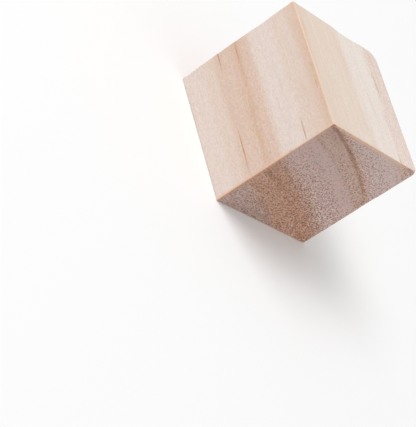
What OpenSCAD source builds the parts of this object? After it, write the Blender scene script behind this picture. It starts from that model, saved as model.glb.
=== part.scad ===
// Craft cube: one solid block of softwood, sawn off a planed strip and lightly sanded.
// The grain runs along X, so the left and right faces are end grain.
// Millimetres, +Z up. The origin is the middle of the base face.

/* [Block] */
// Length along the grain, between the two end-grain faces
block_length = 30; // [10:0.1:60]
// Depth across the grain, front face to back face
block_depth = 29; // [10:0.1:60]
// Height across the grain, base face to top face
block_height = 28.8; // [10:0.1:60]

/* [Eased arrises] */
// Radius of the four arrises that run along the grain
long_arris_r = 0.3; // [0.1:0.05:1.5]
// Radius of the eight arrises round the two end-grain faces
end_arris_r = 0.2; // [0.1:0.05:1.5]

/* [Worn corners] */
// Reach of the wear along each arris, at the top back corner of the left end
back_left_wear = 1.8; // [0.8:0.1:4]
// Reach of the wear along each arris, at the top back corner of the right end
back_right_wear = 1.5; // [0.8:0.1:4]
// Reach of the wear along each arris, at the bottom front corner of the left end
front_left_wear = 0.7; // [0.5:0.1:4]

/* [Chips] */
// Height of the middle of the chip on the front right arris
right_chip_z = 18.4; // [3:0.1:60]
// Width along the arris of the chip on the front right arris
right_chip_w = 1.2; // [0.6:0.1:4]
// Depth of the chip on the front right arris, from the sharp edge
right_chip_d = 0.25; // [0.2:0.05:0.8]
// Height of the middle of the chip on the front left arris
left_chip_z = 1.8; // [1:0.1:60]
// Width along the arris of the chip on the front left arris
left_chip_w = 1.6; // [0.6:0.1:4]
// Depth of the chip on the front left arris, from the sharp edge
left_chip_d = 0.3; // [0.2:0.05:0.8]

/* [Hidden] */
$fn = 96;

// How far a cutter stands proud of the face it cuts
proud = 1;
// A worn corner's ball sits this many reaches in from each face
ball_inset = 1.25;
// Planed softwood, pale pinkish tan
softwood = [0.87, 0.77, 0.69];

// Half sizes, from the middle of the base face
half_x = block_length / 2;
half_y = block_depth / 2;

// A rectangle about the origin with a quarter round of radius r at each corner.
module eased_rectangle(w, h, r) {
    difference() {
        square([w, h], center = true);
        for (sx = [-1, 1], sy = [-1, 1])
            scale_sign(sx, sy)
                translate([w / 2 - r, h / 2 - r])
                    difference() {
                        square(r + proud);
                        circle(r);
                    }
    }
}

// Mirrors its children into the quadrant with the given signs.
module scale_sign(sx, sy) {
    mirror([sx < 0 ? 1 : 0, 0])
        mirror([0, sy < 0 ? 1 : 0])
            children();
}

// The whole block: three eased profiles, one along each axis, where they all meet.
module eased_block() {
    intersection() {
        // Section across the grain: eases the four long arrises
        rotate([90, 0, 90])
            linear_extrude(block_length, center = true)
                eased_rectangle(block_depth, block_height, long_arris_r);
        // Front view: eases the end arrises that run front to back
        rotate([90, 0, 0])
            linear_extrude(block_depth, center = true)
                eased_rectangle(block_length, block_height, end_arris_r);
        // Plan: eases the end arrises that stand upright
        linear_extrude(block_height, center = true)
            eased_rectangle(block_length, block_depth, end_arris_r);
    }
}

// What wear takes off a sharp corner at the origin, of a solid that fills the
// octant of positive X, Y and Z. The ball left behind meets each of the three
// edges at the given reach.
module corner_wear(reach) {
    inset = ball_inset * reach;
    difference() {
        translate(-proud * [1, 1, 1]) cube(reach + proud);
        translate(inset * [1, 1, 1]) sphere(norm([inset - reach, inset, inset]));
    }
}

// A shallow scoop out of a sharp upright edge at the origin, of a solid that
// fills the quadrant of positive X and Y. Its depth is measured along the diagonal.
module arris_chip(width, depth) {
    r = (width * width / 4 + depth * depth) / (2 * depth);
    out = (r - depth) / sqrt(2);
    translate([-out, -out, 0]) sphere(r);
}

module block() {
    color(softwood)
        difference() {
            translate([0, 0, block_height / 2]) eased_block();
            // Top back corner of the left end
            translate([-half_x, half_y, block_height])
                mirror([0, 1, 0]) mirror([0, 0, 1]) corner_wear(back_left_wear);
            // Top back corner of the right end
            translate([half_x, half_y, block_height])
                mirror([1, 0, 0]) mirror([0, 1, 0]) mirror([0, 0, 1]) corner_wear(back_right_wear);
            // Bottom front corner of the left end
            translate([-half_x, -half_y, 0]) corner_wear(front_left_wear);
            // Front right arris
            translate([half_x, -half_y, right_chip_z])
                mirror([1, 0, 0]) arris_chip(right_chip_w, right_chip_d);
            // Front left arris
            translate([-half_x, -half_y, left_chip_z]) arris_chip(left_chip_w, left_chip_d);
        }
}

block();
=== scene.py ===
"""A softwood craft cube on a pale floor: one solid block, its growth rings and its wear."""

import math

import bpy
import numpy as np
from mathutils import Euler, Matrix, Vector


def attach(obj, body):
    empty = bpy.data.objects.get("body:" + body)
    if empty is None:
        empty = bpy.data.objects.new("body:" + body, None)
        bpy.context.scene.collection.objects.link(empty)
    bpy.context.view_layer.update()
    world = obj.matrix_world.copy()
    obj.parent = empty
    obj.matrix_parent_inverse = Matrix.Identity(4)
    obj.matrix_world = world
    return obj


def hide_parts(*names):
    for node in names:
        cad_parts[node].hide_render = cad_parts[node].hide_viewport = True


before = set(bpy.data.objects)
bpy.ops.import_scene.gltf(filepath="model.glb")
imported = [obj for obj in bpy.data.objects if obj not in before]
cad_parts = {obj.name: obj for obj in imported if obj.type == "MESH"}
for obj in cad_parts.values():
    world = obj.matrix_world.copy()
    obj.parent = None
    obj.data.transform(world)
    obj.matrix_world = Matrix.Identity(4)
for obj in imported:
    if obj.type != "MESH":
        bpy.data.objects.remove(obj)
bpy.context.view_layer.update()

MM = 0.001


def tone(red, green, blue):
    """A screen colour from 0 to 255 as the linear colour that a shader takes."""
    levels = np.array([red, green, blue]) / 255
    linear = np.where(levels <= 0.04045, levels / 12.92, ((levels + 0.055) / 1.055) ** 2.4)
    return (*linear.tolist(), 1.0)


def grey(level):
    """The same linear level in all three channels."""
    return (level, level, level, 1.0)


# ---------------------------------------------------------------- sizes, in millimetres

LENGTH = 30.0
DEPTH = 29.0
HEIGHT = 28.8
LEFT = -LENGTH / 2
RIGHT = LENGTH / 2
FRONT = -DEPTH / 2
BACK = DEPTH / 2
BOTTOM = 0.0
TOP = HEIGHT
LOW = np.array([LEFT, FRONT, BOTTOM])
HIGH = np.array([RIGHT, BACK, TOP])

# How far the rounding of the long arrises reaches in from their two faces, along Y and Z:
# at the left end and then the right, each front and back, each bottom and top.
LONG_ARRIS_REACH = np.array(
    [
        [[(0.40, 0.40), (0.65, 0.12)], [(0.30, 0.30), (0.25, 0.25)]],
        [[(0.40, 0.40), (0.82, 0.12)], [(0.30, 0.30), (0.08, 0.08)]],
    ]
)

# The same for the arrises of the sawn ends, and how far in from the ends it holds.
END_ARRIS_REACH = 0.06
END_ZONE = 0.7

# Sums of smooth noise, each noise with its share, its period along X, Y and Z, and its seed:
# for the rounding of the arrises, for torn fibres and the slow unevenness of the cut on the
# sawn ends, and for waves on the planed faces.
ARRIS_CLOUDS = [(0.6, (7, 3.1, 3.1), 11), (0.4, (2.5, 0.8, 0.8), 12)]
TORN_CLOUDS = [(1.0, (2, 0.55, 0.55), 21), (0.6, (2, 1.3, 1.3), 22)]
CUT_CLOUDS = [(1.0, (2, 6, 6), 24)]
WAVE_CLOUDS = [(1.0, (16, 0.9, 0.9), 23)]

# How uneven the clouds make the rounding at the ends, and how much less away from them.
UNEVEN_AT_ENDS = 0.7
LESS_INLAND = 0.4

# The heart of the tree lies well outside the block, and every growth ring turns round it. The
# tables of rings cover the distances from it between the inner and the outer one.
PITH_Y = -37.0
PITH_Z = -69.1
RING_INNER = 70.0
RING_OUTER = 114.0

# Where the hard latewood closes a ring, by distance from the heart.
LATEWOOD_INNER = 85.0
LATEWOOD_OUTER = 99.65

# How far the sawn ends stand out on average, what comes on top of that, and the width of a
# ridge of latewood. The planed faces have only waves.
SAWN_LEVEL = 0.04
RIDGE_HEIGHT = 0.04
RIDGE_WIDTH = 0.5
TORN_HEIGHT = 0.018
CUT_HEIGHT = 0.05
WAVE_HEIGHT = 0.006

# Worn corners, with the wear's reach along X, Y and Z.
WORN_CORNERS = [
    ((LEFT, BACK, TOP), (1.9, 2.0, 1.7)),
    ((RIGHT, BACK, TOP), (1.0, 1.8, 1.0)),
    ((LEFT, FRONT, BOTTOM), (0.45, 0.45, 0.45)),
    ((LEFT, FRONT, TOP), (0.2, 0.2, 0.2)),
]

# A worn corner's ball has its middle this many reaches in from each face.
BALL_INSET = 1.25

# Chips and bruises in the arrises: the middle, the width along the arris, and the depth.
CHIPS = [
    ((RIGHT, FRONT, 18.4), 1.2, 0.25),
    ((LEFT, FRONT, 1.5), 1.5, 0.28),
    ((LEFT, FRONT, 2.6), 3.0, 0.12),
    ((LEFT, FRONT, 20.8), 4.8, 0.12),
    ((LEFT, 3.6, TOP), 9.5, 0.26),
    ((RIGHT, BACK, 16.4), 6.0, 0.12),
    ((-5.0, FRONT, BOTTOM), 3.4, 0.24),
]

# Divisions of the block's surface, few along the grain and many across it, and how much they
# crowd towards the arrises along X, Y and Z.
ALONG_GRAIN = 48
ACROSS_GRAIN = 180
CROWDING = (2.2, 1.2, 1.2)

# Steps along each side of the lattice that the smooth noise repeats over.
NOISE_STEPS = 32

# The gap round each side's place in the block's flat layout, as a share of its page.
PAGE_MARGIN = 0.006

# Resin canals cut open lengthwise: the middle, the half length along the grain, the half width
# across it, and how strongly they show.
RESIN_CANALS = [
    ((-12.3, FRONT, 13.7), 3.3, 0.22, 0.9),
    ((LEFT, FRONT, 9.42), 6.4, 0.23, 1.3),
    ((8.6, FRONT, 8.85), 7.4, 0.24, 1.1),
    ((12.5, FRONT, 22.5), 4.4, 0.25, 1.0),
    ((4.4, FRONT, 28.0), 2.5, 0.21, 0.5),
    ((-6.0, BACK, 20.5), 4.2, 0.27, 1.2),
    ((7.5, BACK, 12.0), 3.4, 0.26, 1.0),
    ((14.0, BACK, 4.6), 5.2, 0.27, 1.4),
    ((-13.0, -3.0, BOTTOM), 4.8, 0.26, 1.2),
    ((6.5, 6.2, BOTTOM), 5.6, 0.27, 1.0),
]

# How far the canals lean down towards the right, in radians.
CANAL_LEAN = 0.025

# Fine grooves of the same kind, with no resin in them.
BARE_GROOVES = [
    ((0.5, FRONT, 20.75), 3.4, 0.4, 0.25),
    ((-4.9, 9.95, TOP), 4.8, 0.36, 1.3),
    ((14.4, 8.85, TOP), 3.4, 0.32, 1.0),
    ((-8.6, 12.0, TOP), 3.0, 0.5, 0.12),
    ((1.4, 4.45, TOP), 4.8, 0.4, 0.25),
]

# How far apart the pores of the sawn ends lie, and how far their pattern slides along Y and Z
# for each millimetre along X, so that the two ends differ.
PORE_SPACING = 0.42
PORE_SLIDE_Y = 0.31
PORE_SLIDE_Z = 0.17

# Half the side of the floor.
FLOOR_REACH = 1000.0

# ---------------------------------------------------------------- tones of the wood

# The rings on the planed faces
CREAM = tone(227, 211, 202)
BEIGE = tone(225, 206, 193)
TAN = tone(221, 198, 182)
ROSE_TAN = tone(220, 195, 179)
PINK_BROWN = tone(219, 192, 176)
BROWN = tone(215, 183, 162)
ORANGE_TAN = tone(219, 190, 170)
ORANGE = tone(218, 186, 162)
STRAW = tone(226, 209, 195)
DEEP_STRAW = tone(223, 205, 190)
PINK_BEIGE = tone(224, 207, 197)
GREY_CREAM = tone(231, 220, 211)

# The rings on the sawn ends
END_LAVENDER = tone(199, 178, 173)
END_ASH = tone(196, 175, 168)
END_GREY = tone(199, 172, 165)
END_SMOOTH = tone(195, 169, 162)
END_TAN = tone(194, 166, 154)
END_FAWN = tone(191, 163, 151)
END_AMBER = tone(192, 159, 143)
END_OLIVE = tone(198, 155, 133)
END_RUSSET = tone(190, 148, 128)
END_BROWN = tone(186, 141, 117)

# Clouds of another tone over the rings, and two casts that clouds multiply them by
YELLOW_FIBRE = tone(226, 196, 166)
PINK_FIBRE = tone(226, 200, 194)
END_WARM = tone(206, 164, 138)
END_COOL = tone(188, 170, 172)
OLIVE_CAST = (0.915, 1.035, 0.915, 1.0)
MAUVE_CAST = (1.06, 0.95, 1.06, 1.0)

# Veins, canals, grooves and pores, and the lines where a ring closes
VEIN = tone(208, 168, 136)
RESIN = tone(188, 128, 84)
GROOVE = tone(190, 164, 148)
PORE = (0.40, 0.24, 0.16, 1.0)
LATE_LINE = tone(140, 108, 96)
LATE_EDGE = tone(194, 161, 143)
LATE_RIM = tone(222, 190, 150)

# Worn arrises, with a painted highlight on one and painted light on another, the rims of the sawn
# ends, and the marks on them
# Straw-coloured wear with a painted highlight, for the arris where the front meets the top
STRAW_WEAR_AND_HIGHLIGHT = tone(236, 212, 187)
# Pale wear on one corner, and painted light on the arris at the base
PALE_WEAR_AND_PAINTED_LIGHT = tone(244, 232, 220)
WORN_TAN = tone(228, 196, 168)
DEEP_TAN = tone(222, 178, 142)
SAW_RIM = tone(230, 192, 166)
SAW_RIM_INNER = tone(216, 174, 152)
PALE_RIM = tone(224, 199, 184)
DEEP_RIM = tone(206, 150, 116)
FRONT_RIM = tone(214, 168, 144)
BACK_RIM = tone(206, 174, 161)
STAIN = tone(193, 131, 108)
BRUISE = tone(138, 106, 95)

# The level of the planed faces where the grain is even, and how much its unevenness moves each
# of red, green and blue
GRAIN_LEVEL = (1.01, 1.01, 1.01)
GRAIN_CAST = (0.85, 1.02, 1.2)

# The rings as the planed faces show them: the distance from the heart, and the colour.
PLANED_RINGS = [
    (72.5, CREAM),
    (76.5, CREAM),
    (78.0, BEIGE),
    (79.4, BEIGE),
    (80.3, TAN),
    (81.4, PINK_BROWN),
    (82.6, ROSE_TAN),
    (84.0, PINK_BROWN),
    (85.7, BROWN),
    (86.9, PINK_BROWN),
    (87.9, PINK_BROWN),
    (88.9, BEIGE),
    (89.5, CREAM),
    (93.6, CREAM),
    (95.0, BEIGE),
    (97.4, BEIGE),
    (98.15, TAN),
    (99.1, ORANGE_TAN),
    (99.6, ORANGE),
    (99.95, ORANGE),
    (100.3, DEEP_STRAW),
    (101.6, STRAW),
    (104.35, STRAW),
    (105.2, GREY_CREAM),
    (108.35, GREY_CREAM),
    (108.65, PINK_BEIGE),
    (111.0, PINK_BEIGE),
]

# How lively the grain of the planed faces is, by the same distance: in lightness, and in tint.
LIVELY_RINGS = [
    (73.0, (0.45, 0.28, 0, 1)),
    (81.0, (0.45, 0.35, 0, 1)),
    (84.0, (0.56, 0.52, 0, 1)),
    (87.5, (0.56, 0.52, 0, 1)),
    (89.5, (0.44, 0.1, 0, 1)),
    (95.0, (0.44, 0.1, 0, 1)),
    (98.0, (0.33, 0.64, 0, 1)),
    (99.8, (0.33, 0.64, 0, 1)),
    (101.0, (0.40, 0.27, 0, 1)),
    (104.5, (0.40, 0.27, 0, 1)),
    (105.2, (0.48, 0.3, 0, 1)),
    (108.0, (0.48, 0.3, 0, 1)),
    (108.6, (0.92, 0.62, 0, 1)),
]

# The rings as the sawn ends show them.
SAWN_RINGS = [
    (73.0, END_GREY),
    (79.0, END_TAN),
    (81.0, END_OLIVE),
    (83.5, END_OLIVE),
    (85.0, END_BROWN),
    (87.2, END_RUSSET),
    (88.4, END_AMBER),
    (89.8, END_GREY),
    (92.4, END_GREY),
    (93.2, END_SMOOTH),
    (95.4, END_SMOOTH),
    (96.8, END_FAWN),
    (98.9, END_FAWN),
    (99.6, END_AMBER),
    (100.2, END_AMBER),
    (100.6, END_GREY),
    (102.5, END_LAVENDER),
    (105.5, END_LAVENDER),
    (107.2, END_ASH),
    (108.4, END_TAN),
]

# How many open pores each ring shows on the sawn ends, as a level of grey.
PORE_RINGS = [
    (73.0, grey(0.7)),
    (80.0, grey(1.0)),
    (82.6, grey(1.1)),
    (84.0, grey(0.85)),
    (85.2, grey(0.85)),
    (86.6, grey(0.72)),
    (88.2, grey(1.15)),
    (90.0, grey(1.0)),
    (92.0, grey(1.0)),
    (93.8, grey(0.6)),
    (94.6, grey(0.25)),
    (95.8, grey(0.25)),
    (96.8, grey(0.65)),
    (97.8, grey(0.65)),
    (98.6, grey(0.5)),
    (99.5, grey(0.8)),
    (101.0, grey(0.85)),
    (103.5, grey(0.5)),
    (106.5, grey(0.1)),
    (107.8, grey(0.2)),
    (109.0, grey(0.9)),
]

# Faint patches of another tone in the planed faces: the middle, the half sizes, the tone and
# how strongly it shows.
PATCHES = [
    ((-8.0, -1.8, TOP), (9.0, 1.6, 3.0), TAN, 0.45),
    ((RIGHT, -3.0, TOP), (7.0, 4.5, 3.0), GREY_CREAM, 0.5),
]

# Single bands and lines, by distance from the heart: the orange vein with its lean along X, a
# deeper band, two faint lines on the sawn ends, and the pale flecks beyond the dark line.
VEIN_RING = 85.45
VEIN_LEAN = 0.043
DEEP_BAND = 97.3
INNER_LINE = 87.3
OUTER_LINE = 96.4
FLECK_RING = 100.2


# ---------------------------------------------------------------- shape


def eased(part):
    """Smoothly from 0 at 0 to 1 at 1, level at both ends."""
    part = np.clip(part, 0, 1)
    return part * part * (3 - 2 * part)


def corner_weights(share):
    """Each corner of a cell, as three steps of 0 or 1, with its weight at each share of the
    way across the cell: the product of the three shares towards that corner."""
    for corner in np.ndindex(2, 2, 2):
        yield corner, np.where(corner, share, 1 - share).prod(1)


def smooth_noise(points, period, seed):
    """Random heights at the corners of a lattice with the given period along X, Y and Z,
    blended between the eight corners round each point by smooth weights. From -1 to 1."""
    table = np.random.default_rng(seed).uniform(-1, 1, (NOISE_STEPS,) * 3)
    cell = points / np.asarray(period)
    base = np.floor(cell).astype(int)
    total = np.zeros(len(points))
    for corner, weight in corner_weights(eased(cell - base)):
        i, j, k = ((base + corner) % NOISE_STEPS).T
        total += weight * table[i, j, k]
    return total


def cloud_sum(points, clouds):
    """The sum of the smooth noises in a table, each times its share."""
    return sum(share * smooth_noise(points, period, seed) for share, period, seed in clouds)


def crowded_ends(low, high, count, crowding):
    """Places from low to high along a hyperbolic tangent, so that they crowd at both ends."""
    t = np.linspace(-1, 1, count + 1)
    spread = np.tanh(crowding * t) / np.tanh(crowding)
    return (low + high) / 2 + (high - low) / 2 * spread


def box_lattice(counts):
    """The outer points of a lattice box, as whole steps along X, Y and Z, its faces, and the
    side that each face lies on, from 0 to 5.

    Each of the six sides is a grid of two of the three steps with the third held at one end.
    Points that two or three sides share are one point, so the box is closed."""
    steps, quads, sides, used = [], [], [], 0
    for axis in range(3):
        a, b = (axis + 1) % 3, (axis + 2) % 3
        grid_a, grid_b = np.meshgrid(
            np.arange(counts[a] + 1), np.arange(counts[b] + 1), indexing="ij"
        )
        number = np.arange(grid_a.size).reshape(grid_a.shape)
        corners = [number[:-1, :-1], number[1:, :-1], number[1:, 1:], number[:-1, 1:]]
        for end in (0, counts[axis]):
            side = np.empty((grid_a.size, 3), int)
            side[:, axis] = end
            side[:, a] = grid_a.ravel()
            side[:, b] = grid_b.ravel()
            loop = corners if end else corners[::-1]
            quads.append(np.stack([c.ravel() for c in loop], 1) + used)
            sides.append(np.full(len(quads[-1]), 2 * axis + bool(end)))
            steps.append(side)
            used += len(side)
    steps, same = np.unique(np.concatenate(steps), axis=0, return_inverse=True)
    return steps, same.ravel()[np.concatenate(quads)], np.concatenate(sides)


def arris_reach(points):
    """How far the rounding reaches in from each face near each point, along X, Y and Z. The
    long arrises run evenly from each corner's figure to the next, and ease to the sharp
    arrises of the sawn ends. Clouds of two sizes make it uneven, mostly on the ends."""
    share = (points - LOW) / (HIGH - LOW)
    across = sum(
        weight[:, None] * LONG_ARRIS_REACH[corner] for corner, weight in corner_weights(share)
    )
    inland = eased((RIGHT - np.abs(points[:, :1])) / END_ZONE)
    across = END_ARRIS_REACH + (across - END_ARRIS_REACH) * inland
    cloud = cloud_sum(points, ARRIS_CLOUDS)
    uneven = 1 + (UNEVEN_AT_ENDS - LESS_INLAND * inland) * cloud[:, None]
    return np.hstack([np.full_like(inland, END_ARRIS_REACH), across]) * uneven


def outward(spot):
    """The direction out of the block at a spot on an arris or a corner: away from every face
    that the spot lies on."""
    way = (spot >= HIGH).astype(float) - (spot <= LOW).astype(float)
    return way / np.linalg.norm(way)


def wear_corner(points, normals, corner, reach):
    """Draws the points near a corner in to a ball that meets each of its three arrises at that
    arris's reach, worked out in lengths of the reach. Says which points were drawn in."""
    inward = np.where(corner > LOW, -1, 1)
    radius = math.sqrt((BALL_INSET - 1) ** 2 + 2 * BALL_INSET**2)
    offset = (points - corner) * inward / reach - BALL_INSET
    far = np.linalg.norm(offset, axis=1)
    worn = (offset < 0).all(1) & (far > radius)
    way = offset[worn] / far[worn, None]
    points[worn] = corner + (BALL_INSET + radius * way) * reach * inward
    normals[worn] = way * inward
    return worn


def chip_arris(points, spot, width, depth):
    """Pushes the points near an arris out of a ball that bites it by the given width along
    the arris and depth across it, which leaves a shallow scoop."""
    radius = (width**2 / 4 + depth**2) / (2 * depth)
    middle = spot + outward(spot) * (radius - depth)
    offset = points - middle
    far = np.linalg.norm(offset, axis=1)
    bitten = far < radius
    points[bitten] = middle + radius * offset[bitten] / far[bitten, None]


def relief(points, end_grain):
    """How far each point stands out: on the sawn ends, the slow unevenness of the cut, ridges of
    hard latewood where each ring closes and the roughness of torn fibres, and on the planed
    faces, faint waves along the grain. A ridge is a bell curve of the distance from its ring,
    and rings turn round the heart of the tree, which runs along X."""
    ring = np.hypot(points[:, 1] - PITH_Y, points[:, 2] - PITH_Z)
    ridges = sum(
        np.exp(-(((ring - line) / RIDGE_WIDTH) ** 2)) for line in (LATEWOOD_INNER, LATEWOOD_OUTER)
    )
    torn = cloud_sum(points, TORN_CLOUDS)
    cut = cloud_sum(points, CUT_CLOUDS)
    waves = cloud_sum(points, WAVE_CLOUDS)
    sawn = SAWN_LEVEL + RIDGE_HEIGHT * ridges + TORN_HEIGHT * torn + CUT_HEIGHT * cut
    return end_grain * sawn + (1 - end_grain) * WAVE_HEIGHT * waves


def bake_layout(share, quads, sides):
    """A flat layout of the six sides for each corner of each face: the two sawn ends fill the
    left half of a square, and the four long sides lie in the right half, each with the grain
    up the page in a quarter of the height."""
    layout = np.empty((*quads.shape, 2))
    for side in range(6):
        here = sides == side
        spot = share[quads[here]]
        if side < 2:
            low, size, flat = (0, side / 2), (0.5, 0.5), spot[..., [1, 2]]
        else:
            across = 2 if side < 4 else 1
            low, size, flat = (0.5, (side - 2) / 4), (0.5, 0.25), spot[..., [across, 0]]
        inside = np.array(size) - 2 * PAGE_MARGIN
        layout[here] = np.array(low) + PAGE_MARGIN + flat * inside
    return layout


def block_surface():
    """The worn block. Each point of a sharp box is moved onto an ellipsoid round the nearest
    point of a smaller core box, with half sizes equal to the reach of the rounding there, which
    leaves the faces flat and rounds the arrises. Relief moves it along its normal, and then
    the worn corners and the chips are taken off. Wear runs from 0 on a face to 1 half way
    round an arris, and is 1 on a worn corner."""
    counts = (ALONG_GRAIN, ACROSS_GRAIN, ACROSS_GRAIN)
    steps, quads, sides = box_lattice(counts)
    places = [crowded_ends(LOW[a], HIGH[a], counts[a], CROWDING[a]) for a in range(3)]
    sharp = np.stack([places[a][steps[:, a]] for a in range(3)], 1)
    reach = arris_reach(sharp)
    core = sharp.clip(LOW + reach, HIGH - reach)
    push = (sharp - core) / reach
    push /= np.linalg.norm(push, axis=1, keepdims=True)
    normals = push / reach
    normals /= np.linalg.norm(normals, axis=1, keepdims=True)
    points = core + push * reach + normals * relief(sharp, normals[:, 0] ** 2)[:, None]
    wear = ((1 - np.abs(push).max(1)) / (1 - math.sqrt(0.5))).clip(0, 1)
    for corner, extent in WORN_CORNERS:
        worn = wear_corner(points, normals, np.array(corner), np.array(extent))
        wear[worn] = 1
    for spot, width, depth in CHIPS:
        chip_arris(points, np.array(spot), width, depth)
    end_grain = normals[:, 0] ** 2
    layout = bake_layout((sharp - LOW) / (HIGH - LOW), quads, sides)
    return points, quads, end_grain, wear, layout


def mesh_piece(name, points, quads):
    """A mesh object from whole arrays of points in millimetres and four-sided faces."""
    mesh = bpy.data.meshes.new(name)
    mesh.from_pydata((points * MM).tolist(), [], quads.tolist())
    mesh.shade_smooth()
    piece = bpy.data.objects.new(name, mesh)
    bpy.context.scene.collection.objects.link(piece)
    return piece


def store(mesh, name, values):
    """Keeps one number per point under a name that a material can read."""
    layer = mesh.attributes.new(name, "FLOAT", "POINT")
    layer.data.foreach_set("value", values.astype(np.float32))


# ---------------------------------------------------------------- shader maths


class Field:
    """A number, colour or vector that varies over the surface: one socket of a node tree.
    Arithmetic on fields adds Math nodes."""

    def __init__(self, tree, socket):
        self.tree = tree
        self.socket = socket

    def node(self, kind, settings=None, inputs=None, out=0):
        """Adds a node of any type: its settings first, then the values or links of its sockets.
        Gives the output named or numbered by out."""
        made = self.tree.nodes.new(kind)
        for name, value in (settings or {}).items():
            if name == "stops":
                fill_ramp(made.color_ramp, value)
            else:
                setattr(made, name, value)
        for key, value in (inputs or {}).items():
            if isinstance(value, Field):
                self.tree.links.new(value.socket, made.inputs[key])
            else:
                made.inputs[key].default_value = value
        return Field(self.tree, made.outputs[out])

    def math(self, operation, *values):
        """One Math node on numbers."""
        return self.node("ShaderNodeMath", {"operation": operation}, dict(enumerate(values)))

    def __add__(self, other):
        return self.math("ADD", self, other)

    def __radd__(self, other):
        return self.math("ADD", other, self)

    def __sub__(self, other):
        return self.math("SUBTRACT", self, other)

    def __rsub__(self, other):
        return self.math("SUBTRACT", other, self)

    def __mul__(self, other):
        return self.math("MULTIPLY", self, other)

    def __rmul__(self, other):
        return self.math("MULTIPLY", other, self)

    def __truediv__(self, other):
        return self.math("DIVIDE", self, other)

    def __pow__(self, other):
        return self.math("POWER", self, other)

    def size(self):
        """This number without its sign."""
        return self.math("ABSOLUTE", self)

    def least(self, other):
        """The smaller of two numbers."""
        return self.math("MINIMUM", self, other)

    def most(self, other):
        """The larger of two numbers."""
        return self.math("MAXIMUM", self, other)

    def rise(self, low, high):
        """Smoothly from 0 at low to 1 at high."""
        span = {"Value": self, "From Min": low, "From Max": high}
        return self.node("ShaderNodeMapRange", {"interpolation_type": "SMOOTHSTEP"}, span)

    def near(self, middle, reach):
        """1 at the middle value, falling smoothly to 0 at reach on either side."""
        return 1 - (self - middle).size().rise(0, reach)

    def vector(self, operation, *values, out=0):
        """One Vector Math node on vectors or colours."""
        settings = {"operation": operation}
        return self.node("ShaderNodeVectorMath", settings, dict(enumerate(values)), out)

    def parts(self):
        """The three numbers of this vector."""
        return [self.node("ShaderNodeSeparateXYZ", None, {0: self}, out=i) for i in range(3)]

    def joined(self, x, y, z):
        """A vector from three numbers."""
        return self.node("ShaderNodeCombineXYZ", None, {0: x, 1: y, 2: z})

    def clouds(self, x, y, z, detail=2.0, roughness=0.5, shift=0.0):
        """Cloudy noise round 0 over this vector, mostly from -0.4 to 0.4, with blobs of the
        given lengths. The shift takes the same noise from another place."""
        place = self.vector("MULTIPLY", self, (1 / x, 1 / y, 1 / z))
        place = self.vector("ADD", place, (shift, shift, shift))
        inputs = {"Vector": place, "Scale": 1.0, "Detail": detail, "Roughness": roughness}
        return self.node("ShaderNodeTexNoise", {"normalize": True}, inputs) - 0.5

    def shaded(self, level):
        """This colour made lighter or darker by a number."""
        settings = {"operation": "SCALE"}
        return self.node("ShaderNodeVectorMath", settings, {0: self, "Scale": level})

    def ramp(self, stops):
        """The colour that the stops give at this number."""
        return self.node("ShaderNodeValToRGB", {"stops": stops}, {"Fac": self})

    def blend(self, other, amount, mode="MIX"):
        """This colour, mixed with another by the given amount. A Mix node's sockets for colours
        go by number, because those for single numbers have the same names."""
        settings = {"data_type": "RGBA", "blend_type": mode}
        return self.node("ShaderNodeMix", settings, {0: amount, 6: self, 7: other}, out=2)


def fill_ramp(ramp, stops):
    """Sets a ramp's stops: pairs of a place from 0 to 1 and a colour."""
    ramp.elements.remove(ramp.elements[1])
    ramp.elements[0].position = stops[0][0]
    ramp.elements[0].color = stops[0][1]
    for place, colour in stops[1:]:
        ramp.elements.new(place).color = colour


# ---------------------------------------------------------------- finish

# In what follows, x, y and z are the place on the block, heart is the true distance from the
# heart of the tree, and ring is that distance as a finish bends it, all in millimetres. What
# a mask from 0 to 1 is multiplied by is its strength, or its shift in millimetres.


def ring_ramp(ring, table):
    """The colour that a table of ring distances gives at each distance from the heart."""
    span = RING_OUTER - RING_INNER
    stops = [((distance - RING_INNER) / span, colour) for distance, colour in table]
    return ((ring - RING_INNER) / span).ramp(stops)


def spindle(place, middle, size, lean=0.0):
    """1 in the middle of an ellipsoid with the given half sizes, falling to 0 at its skin. Its
    X axis leans downwards by an angle in radians."""
    inputs = {"Vector": place, "Location": middle, "Rotation": (0, lean, 0), "Scale": size}
    away = place.node("ShaderNodeMapping", {"vector_type": "TEXTURE"}, inputs)
    return 1 - away.vector("LENGTH", away, out="Value").rise(0, 1)


def spindles(place, table, lean=0.0):
    """The sum of a table of spindles that lie along the grain, each at its own strength."""
    return sum(
        spindle(place, middle, (half_length, half_width, half_width), lean) * strength
        for middle, half_length, half_width, strength in table
    )


def clouded(colour, cloud, high_tone, low_tone, amount, mode="MIX"):
    """A colour with one tone over it where a cloud is high, and another where it is low."""
    colour = colour.blend(high_tone, cloud.rise(0.0, 0.3) * amount, mode)
    return colour.blend(low_tone, (0 - cloud).rise(0.0, 0.3) * amount, mode)


def mottled(colour, cloud, amount):
    """A colour with a faint olive cast in parts of a cloud and a mauve one in the others."""
    return clouded(colour, cloud, OLIVE_CAST, MAUVE_CAST, amount, "MULTIPLY")


def planed_rings(place, heart, feather):
    """The rings as the planed faces show them: the distance from the heart with a slow wander
    and a feathered edge, and with single rings that slant along the grain or across it."""
    x, y, _ = place.parts()
    wander = place.clouds(60, 14, 14, detail=1.0)
    ring = heart + wander * 1.2 + feather * 0.8
    ring = ring + ring.rise(95, 99) * y * 0.03
    ring = ring + ring.near(100, 1.5) * x * 0.02 - ring.near(104.8, 2) * x * 0.0125
    return ring + ring.rise(106.5, 107.5) * x.rise(1, 4) * 0.45


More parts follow.
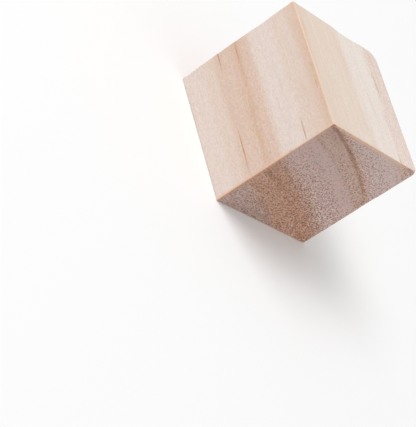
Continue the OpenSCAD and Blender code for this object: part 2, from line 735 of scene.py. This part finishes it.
def planed_tones(place, heart, ring):
    """The even tones of the planed faces: the rings in soft bands, with an orange vein, a
    deeper band towards the right end and faint patches."""
    x = place.parts()[0]
    colour = ring_ramp(ring, PLANED_RINGS)
    vein = (heart + x * VEIN_LEAN).near(VEIN_RING, 0.6)
    colour = colour.blend(VEIN, vein * 0.35)
    deeper = heart.near(DEEP_BAND, 2.6) * x.rise(-2, 5)
    colour = colour.blend(BROWN, deeper * 0.25)
    for middle, size, patch, strength in PATCHES:
        colour = colour.blend(patch, spindle(place, middle, size) * strength)
    return colour


def planed_finish(place, heart, ring, fibre):
    """The planed faces: their tones with clouds and fine fibres along the grain, coarse where
    the wood is dark, and a few open canals and bare grooves. Gives the colour, and how open
    the canals and grooves are."""
    lively, tint, _ = ring_ramp(ring, LIVELY_RINGS).parts()
    grit = place.clouds(0.3, 0.26, 0.26, detail=1.0, shift=3.0)
    streak = place.clouds(9, 0.5, 0.5, detail=3.0, shift=9.0)
    cloud = place.clouds(1.4, 0.7, 0.7, detail=3.0, shift=17.0) - streak * 0.15
    cloud = cloud + place.clouds(9, 0.5, 0.5, detail=3.0, shift=37.0) * 0.5
    cast = place.clouds(1.4, 0.65, 0.65, detail=3.0, shift=29.0)
    colour = planed_tones(place, heart, ring)
    colour = clouded(colour, cloud, YELLOW_FIBRE, PINK_FIBRE, tint)
    colour = mottled(colour, cast, tint * 1.4)

    broken = 0.75 + fibre * 2.5
    canals = (spindles(place, RESIN_CANALS, CANAL_LEAN) * broken).most(0).least(1)
    grooves = (spindles(place, BARE_GROOVES) * broken).most(0).least(1)
    colour = colour.blend(RESIN, canals).blend(GROOVE, grooves)

    streaky = ring.rise(99, 101)
    grain = fibre * (0.85 - streaky * 0.2) + grit * 0.65 + streak * (0.2 + streaky * 0.25)
    pale_strip = ring.rise(107.8, 108.6) * place.parts()[0].rise(0, 5)
    uneven = grain * lively + pale_strip * 0.022
    level = uneven.vector("MULTIPLY_ADD", uneven, GRAIN_CAST, GRAIN_LEVEL)
    return colour.vector("MULTIPLY", colour, level), canals + grooves


def planed_rims(colour, place, ring, wear):
    """The planed faces with their worn arrises: straw wear with a painted highlight where the
    front meets the top, painted light on the worn arris at the base, a tan rim at the right end
    that is deeper over the dark rings, and one corner rubbed pale."""
    x, y, z = place.parts()
    by_front_top = (z / HEIGHT - y / DEPTH).rise(1.2, 1.45)
    by_front_top = by_front_top * (0.4 + 0.6 * (x - LEFT).rise(0.5, 4))
    # Straw-coloured wear with a painted highlight along the arris where the front meets the top.
    straw_wear_and_highlight = wear.rise(0, 0.8) * by_front_top * (0.95 - x.rise(-6, 14) * 0.35)
    colour = colour.blend(STRAW_WEAR_AND_HIGHLIGHT, straw_wear_and_highlight)
    # Painted light on the rounded arris at the base, which faces the floor in the block's shade.
    painted_light_at_base = 1 - z.rise(2, 6)
    colour = colour.blend(PALE_WEAR_AND_PAINTED_LIGHT, wear.rise(0, 0.5) * painted_light_at_base * 0.6)
    by_end = x.rise(RIGHT - END_ZONE, RIGHT)
    tan_strength = 0.45 + (TOP - z).rise(0.1, 0.6) * 0.25 - y.rise(-5, 6) * 0.3
    colour = colour.blend(WORN_TAN, by_end * tan_strength)
    colour = colour.blend(DEEP_TAN, by_end * (1 - ring.rise(88, 93)) * 0.45)
    rubbed = spindle(place, (LEFT, FRONT, TOP), (8, 3, 3))
    return colour.blend(PALE_WEAR_AND_PAINTED_LIGHT, rubbed.rise(0, 0.6) * 0.12)


def sawn_rings(place, heart, feather):
    """The rings as the sawn ends show them: the distance from the heart with a feathered edge,
    and with single rings that bend towards the front or the back."""
    y = place.parts()[1]
    slant = heart.rise(95, 99) - heart.near(87, 6) * 1.3
    ring = heart + feather * 0.5 + slant * y * 0.035
    ring = ring - heart.near(87.5, 3) * (1 - y.rise(-14, -10)) * 0.8
    return ring - heart.near(89.8, 1.5) * y.rise(9, 13) - heart.near(96.5, 1.6) * y * 0.055


def sawn_tones(across, ring, y):
    """The even tones of the sawn ends: the rings in deep tones, one of them lavender towards
    the back, under warm and cool clouds."""
    blush = across.clouds(1.2, 1.2, 4, shift=11.0)
    cast = across.clouds(0.8, 0.8, 4, detail=3.0, shift=29.0)
    colour = ring_ramp(ring, SAWN_RINGS)
    colour = colour.blend(END_LAVENDER, ring.near(95.2, 1.3) * y.rise(3, 12) * 0.5)
    colour = clouded(colour, blush, END_WARM, END_COOL, 0.45)
    return mottled(colour, cast, 1.0)


def closing_line(colour, ring, torn, patchy, y):
    """A colour with the dark line where a ring closes, broken by torn fibres, broader in the
    middle and weaker towards the back, and with a warm edge beyond it."""
    beyond = ring - LATEWOOD_OUTER + torn * 0.3
    edge = beyond.rise(0.05, 0.3) * (1 - beyond.rise(0.55, 1.0))
    colour = colour.blend(LATE_EDGE, edge * 0.9)
    half_width = 0.6 - y * 0.004 + y.near(-1.5, 3.5) * 0.2
    line = 1 - (beyond - 0.03).size().rise(0.1, half_width)
    line = line * (0.7 + patchy + torn * 1.4 - y * 0.004)
    line = line * (1 - y.rise(0, 3) * 0.22 - y.rise(8, 13) * 0.28)
    return colour.blend(LATE_LINE, line)


def faint_lines(colour, place, heart, ring, feather, torn):
    """A colour with what shows between the closed rings: a shade at the front by the dark
    line, two fainter lines, a shade before the inner one and a pale band behind it, fine lines
    along the inner rings, and pale flecks beyond the dark line."""
    x, y, z = place.parts()
    front_shade = ring.near(98.7, 1.3) * (1 - y.rise(-14, -2))
    colour = colour.blend(LATE_LINE, front_shade * 0.27)

    inner = heart + feather * 0.3 - y.rise(-5, -1)
    inner_line = inner.near(INNER_LINE, 0.5) * (1 - y.rise(3, 9)) * (1 - y.near(-1.5, 2.5) * 0.7)
    colour = colour.blend(LATE_LINE, inner_line * (0.3 + torn * 0.4))
    outer_line = (heart + feather * 0.3 - y.rise(2, 14) * 1.6).near(OUTER_LINE, 0.5)
    colour = colour.blend(LATE_LINE, outer_line * (0.13 + torn * 0.3))

    shade = heart.near(84.7, 0.9) * (1 - y.rise(-6, -2))
    pale = inner.near(88.3, 0.6) * y.rise(-11, -8) * (1 - y.rise(-5, -2))
    along_ring = place.joined(heart, y * 0.94 - z * 0.34, x)
    fine = along_ring.clouds(0.4, 2.2, 4, detail=3.0, shift=13.0) * (1 - ring.rise(87, 89))
    colour = colour.shaded(1 + pale * 0.12 - shade * 0.1 + fine * 0.9)

    flecks = ring.near(FLECK_RING, 0.45) * (0.2 + torn * 3) * y.rise(-9, 3)
    return colour.blend(LATE_RIM, flecks * 0.6)


def sawn_pores(across, ring, torn, y):
    """The pores of the sawn ends: the middles of the cells of a flat pattern, of which each
    ring leaves its own share open. Gives that share, and how open each pore is."""
    cells = {"Vector": across, "Scale": 1 / PORE_SPACING, "Randomness": 1.0}
    flat = {"voronoi_dimensions": "2D"}
    pore_far = across.node("ShaderNodeTexVoronoi", flat, cells, out="Distance")
    pore_luck = across.node("ShaderNodeTexVoronoi", flat, cells, out="Color").parts()[0]
    inner = 1 - ring.rise(99, 100)
    middle = ring.rise(88, 91) * inner
    share = ring_ramp(ring, PORE_RINGS) * (0.98 + y * (inner * 0.02 + middle * 0.022))
    share = share + (ring.near(88.5, 3) + ring.rise(99, 101)) * y.rise(-5, 3) * 0.2
    opening = 1 - (pore_far + torn * 0.5).rise(0.08, 0.42)
    return share, opening * (pore_luck + share - 0.9).rise(-0.1, 0.3)


def sawn_rims(colour, place, ring, broken):
    """The sawn ends with the rims that the saw leaves along their arrises: thin at the back and
    the base, deeper at the front over the dark rings, and warm along the top with a broad pale
    one inside it."""
    _, y, z = place.parts()
    back = 1 - z.least(BACK - y).rise(0.05, 0.5)
    colour = colour.blend(BACK_RIM, back * 0.6)
    front = 1 - (y - FRONT).rise(0.05, 1.0)
    colour = colour.blend(FRONT_RIM, front * broken * 0.6)
    colour = colour.blend(DEEP_RIM, front * broken * (1 - ring.rise(89, 93)) * 0.5)
    past_front = y.rise(-13, -6)
    top = 1 - (TOP - z).rise(0.05, 0.8 + past_front * 0.4)
    top = top * (1 - y.rise(3, 12) * 0.2 - (1 - past_front) * 0.1)
    pale_top = (1 - (TOP - z).rise(0.1, 1.9)) * (y.rise(-2, 5) - y.rise(6, 12) * 0.7)
    colour = colour.blend(SAW_RIM_INNER, top * broken)
    colour = colour.blend(SAW_RIM, top.rise(0.4, 0.9) * broken)
    return colour.blend(PALE_RIM, pale_top * broken * 0.4)


def sawn_finish(place, heart, feather):
    """The sawn ends: the rings in deep tones with their lines, fresh wood where fibres are
    torn, open pores, painted light that grows towards the back, rims along the arrises, a stain
    at the top front corner and a bruise by the top back one. Gives the colour, and how far torn
    fibres and pores stand out."""
    x, y, z = place.parts()
    ring = sawn_rings(place, heart, feather)
    across = place.joined(y + x * PORE_SLIDE_Y, z - x * PORE_SLIDE_Z, x)
    torn = across.clouds(0.36, 0.36, 4, roughness=0.6)
    patchy = across.clouds(1.6, 1.6, 4, shift=5.0)
    colour = sawn_tones(across, ring, y)
    colour = closing_line(colour, ring, torn, patchy, y)
    colour = faint_lines(colour, place, heart, ring, feather, torn)

    pore_share, open_pore = sawn_pores(across, ring, torn, y)
    rough = pore_share * (1 + patchy)
    bold = 0.93 + ring.near(86.5, 5) * 0.44
    fresh = ring_ramp(ring, PLANED_RINGS).shaded(1.05)
    colour = colour.blend(fresh, torn * rough * bold * 3.2)
    colour = colour.blend(PORE, open_pore * 0.85 * bold - torn * rough * 2.4, "MULTIPLY")
    # Painted light: the sawn end is darker at the front and lighter towards the back, and more so
    # on the inner rings low down by the floor, on top of its overall level.
    painted_light_near_floor = y.rise(-3, 1) * 0.04 + y.rise(1, 9) * 0.085 - 0.04
    colour = colour.shaded(1.09 + y * 0.006 + (1 - ring.rise(85.5, 88)) * painted_light_near_floor)

    colour = sawn_rims(colour, place, ring, 0.8 + torn * 2 + patchy * 0.8)
    stain = spindle(place, (RIGHT, FRONT, TOP), (1.5, 1.5, 1.5))
    colour = colour.blend(STAIN, stain.rise(0.1, 0.5))
    bruise = spindle(place, (RIGHT, 12.6, TOP - 0.35), (1, 1.9, 0.5))
    colour = colour.blend(BRUISE, bruise.rise(0.0, 0.5) * (0.35 + torn * 2).most(0))
    return colour, torn * 0.03 * rough - open_pore * 0.035


def softwood():
    """Bare softwood. Colour follows the distance from the tree's heart, so every face shows the
    same rings: soft bands where it is planed along the grain, and deeper ones on the sawn ends.
    Bump is in millimetres."""
    material = bpy.data.materials.new("softwood")
    material.use_nodes = True
    tree = material.node_tree
    shader = tree.nodes["Principled BSDF"]
    start = Field(tree, None)

    coordinates = start.node("ShaderNodeTexCoord", out="Object")
    place = coordinates.vector("MULTIPLY", coordinates, (1 / MM, 1 / MM, 1 / MM))
    _, y, z = place.parts()
    facing_along = start.node("ShaderNodeAttribute", {"attribute_name": "end_grain"}, out="Fac")
    wear = start.node("ShaderNodeAttribute", {"attribute_name": "wear"}, out="Fac")
    end = facing_along.rise(0.35, 0.8)

    heart = ((y - PITH_Y) ** 2 + (z - PITH_Z) ** 2) ** 0.5
    feather = place.clouds(14, 0.9, 0.9, detail=3.0, shift=4.0)
    fibre = place.clouds(0.7, 0.24, 0.24, detail=3.0, roughness=0.65)
    ring = planed_rings(place, heart, feather)
    planed, open_canal = planed_finish(place, heart, ring, fibre)
    planed = planed_rims(planed, place, ring, wear)
    sawn, stands_out = sawn_finish(place, heart, feather)
    sawn = sawn.blend(WORN_TAN, wear * 0.6)
    colour = planed.blend(sawn, end)

    height = end * stands_out + (1 - end) * (fibre * 0.012 - open_canal * 0.02)
    bump = {"Height": height, "Distance": MM, "Strength": 0.7}
    normal = start.node("ShaderNodeBump", None, bump)
    roughness = 0.66 + end * 0.2 + fibre * 0.1

    tree.links.new(colour.socket, shader.inputs["Base Color"])
    tree.links.new(roughness.socket, shader.inputs["Roughness"])
    tree.links.new(normal.socket, shader.inputs["Normal"])
    shader.inputs["Specular IOR Level"].default_value = 0.3
    return material


def floor_finish():
    """Plain pale matt paint with no gloss."""
    material = bpy.data.materials.new("pale_floor")
    material.use_nodes = True
    shader = material.node_tree.nodes["Principled BSDF"]
    shader.inputs["Base Color"].default_value = grey(0.98)
    shader.inputs["Roughness"].default_value = 0.9
    shader.inputs["Specular IOR Level"].default_value = 0.0
    return material


# ---------------------------------------------------------------- stage, light and camera


def floor():
    """A flat square under the block."""
    corners = np.array([[-1, -1, 0], [1, -1, 0], [1, 1, 0], [-1, 1, 0]]) * FLOOR_REACH
    piece = mesh_piece("floor", corners, np.array([[0, 1, 2, 3]]))
    piece.data.materials.append(floor_finish())


def soft_lamp(name, place, aim, size, watts):
    """A square area lamp that faces its aim, in metres."""
    lamp = bpy.data.objects.new(name, bpy.data.lights.new(name, "AREA"))
    lamp.data.size = size
    lamp.data.energy = watts
    lamp.location = place
    lamp.rotation_euler = (Vector(aim) - Vector(place)).to_track_quat("-Z", "Y").to_euler()
    bpy.context.scene.collection.objects.link(lamp)


def studio_world(light, backdrop):
    """An even white sky that lights the scene at one level and is seen at another, straight,
    in gloss or through glass."""
    world = bpy.data.worlds.new("studio")
    world.use_nodes = True
    start = Field(world.node_tree, None)
    camera_ray, glossy_ray, transmission_ray = (
        start.node("ShaderNodeLightPath", out=name)
        for name in ("Is Camera Ray", "Is Glossy Ray", "Is Transmission Ray")
    )
    seen = camera_ray.most(glossy_ray).most(transmission_ray)
    level = light + seen * (backdrop - light)
    background = world.node_tree.nodes["Background"]
    background.inputs["Color"].default_value = grey(1.0)
    world.node_tree.links.new(level.socket, background.inputs["Strength"])
    bpy.context.scene.world = world


def camera(place, aim, roll_degrees, lens):
    """A camera at place that looks at aim, both in metres, turned about its own view by the
    roll. The lens is in millimetres."""
    view = bpy.data.objects.new("camera", bpy.data.cameras.new("camera"))
    view.data.lens = lens
    view.data.clip_start = 0.01
    look = (Vector(aim) - Vector(place)).to_track_quat("-Z", "Y")
    turn = Euler((0, 0, math.radians(roll_degrees))).to_quaternion()
    view.location = place
    view.rotation_euler = (look @ turn).to_euler()
    bpy.context.scene.collection.objects.link(view)
    bpy.context.scene.camera = view


# ---------------------------------------------------------------- the block on its stage

points, quads, end_grain, wear, layout = block_surface()
block = mesh_piece("softwood_block", points, quads)
store(block.data, "end_grain", end_grain)
store(block.data, "wear", wear)
block.data.uv_layers.new(name="OFBake").data.foreach_set("uv", layout.ravel())
block.data.materials.append(softwood())
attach(block, "root")
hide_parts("block")

floor()
studio_world(light=0.608, backdrop=0.94)
soft_lamp("key", place=(-0.5, -0.55, 1.15), aim=(0, 0, 0.0144), size=0.8, watts=9.45)
camera(
    place=(0.19181, -0.25897, 0.14432),
    aim=(0.01032, -0.00583, -0.00780),
    roll_degrees=57.05,
    lens=146.6,
)
bpy.context.scene.view_settings.view_transform = "Standard"
